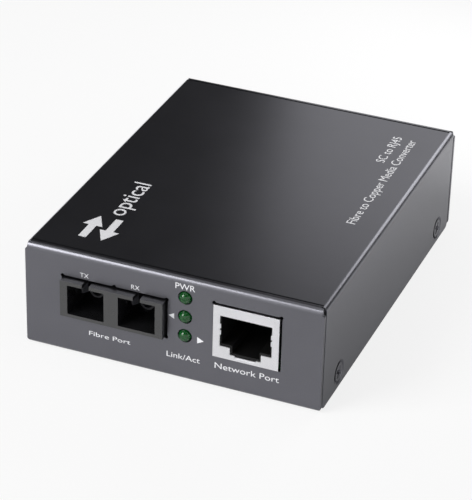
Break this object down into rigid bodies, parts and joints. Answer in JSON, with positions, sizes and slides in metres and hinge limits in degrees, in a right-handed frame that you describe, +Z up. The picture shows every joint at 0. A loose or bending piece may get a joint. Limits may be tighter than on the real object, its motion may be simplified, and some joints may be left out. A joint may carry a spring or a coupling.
{
  "type": "optical transceiver unit",
  "caption": "Bent-steel desktop fibre-to-copper converter box with duplex SC ports, shielded RJ45 jack, LED column, rear DC inlet and slide switch.",
  "frame": {"origin": "centre of the case's footprint on its underside", "axes": "+X right as seen from the front, +Y from the front panel to the rear panel, +Z up"},
  "size_m": [0.073, 0.0968, 0.027],
  "materials": {
    "painted_steel": "fine-textured dark grey powder coat",
    "painted_screw": "dark grey paint",
    "zinc_steel": "zinc plated",
    "board_laminate": "green solder mask",
    "black_plastic": "moulded black",
    "grey_plastic": "moulded dark grey",
    "plated_shield": "nickel plated, satin",
    "gold_contact": "gold plated",
    "tinned_lead": "tin plated",
    "led_epoxy": "green tinted clear epoxy",
    "red_plastic": "moulded red",
    "white_plastic": "moulded white",
    "aluminium_can": "satin can",
    "ferrite": "dark ferrite",
    "tan_ceramic": "tan ceramic chip"
  },
  "bodies": {
    "case": {"base_chassis": "painted_steel", "top_cover": "painted_steel", "case_screws": "painted_screw", "pcb_standoffs": "zinc_steel", "pcb_screws": "zinc_steel", "main_pcb": "board_laminate", "sc_housing": "black_plastic", "tx_latch_clip": "grey_plastic", "rx_latch_clip": "grey_plastic", "tx_sleeve": "black_plastic", "rx_sleeve": "black_plastic", "laser_can": "gold_contact", "photodiode_can": "tinned_lead", "transceiver_cover": "aluminium_can", "transceiver_pcb": "board_laminate", "transceiver_pins": "gold_contact", "driver_ic": "black_plastic", "rj45_shield": "plated_shield", "rj45_insulator": "black_plastic", "rj45_contacts": "gold_contact", "magnetics_module": "black_plastic", "magnetics_leads": "tinned_lead", "led_power": "led_epoxy", "led_fibre_link": "led_epoxy", "led_copper_link": "led_epoxy", "led_leads": "tinned_lead", "led_spacer": "black_plastic", "dc_jack_body": "black_plastic", "dc_jack_pin": "plated_shield", "dc_jack_spring": "tinned_lead", "dc_jack_terminals": "tinned_lead", "dip_switch_body": "red_plastic", "dip_switch_pins": "tinned_lead", "converter_ic": "black_plastic", "converter_ic_leads": "tinned_lead", "memory_ic": "black_plastic", "memory_ic_leads": "tinned_lead", "crystal": "tinned_lead", "regulator": "black_plastic", "regulator_leads": "tinned_lead", "power_inductor": "ferrite", "bulk_capacitors": "aluminium_can", "capacitor_bases": "black_plastic", "chip_capacitors": "tan_ceramic", "chip_resistors": "black_plastic", "input_fuse": "ferrite", "protection_diode": "black_plastic"},
    "slider_1": {"dip_slider_1": "white_plastic"},
    "slider_2": {"dip_slider_2": "white_plastic"}
  },
  "joints": [
    {"name": "slide_1", "type": "slide", "parent": "case", "child": "slider_1", "axis": [0, 0, 1], "range_m": [0, 0.002]},
    {"name": "slide_2", "type": "slide", "parent": "case", "child": "slider_2", "axis": [0, 0, 1], "range_m": [0, 0.002]}
  ]
}
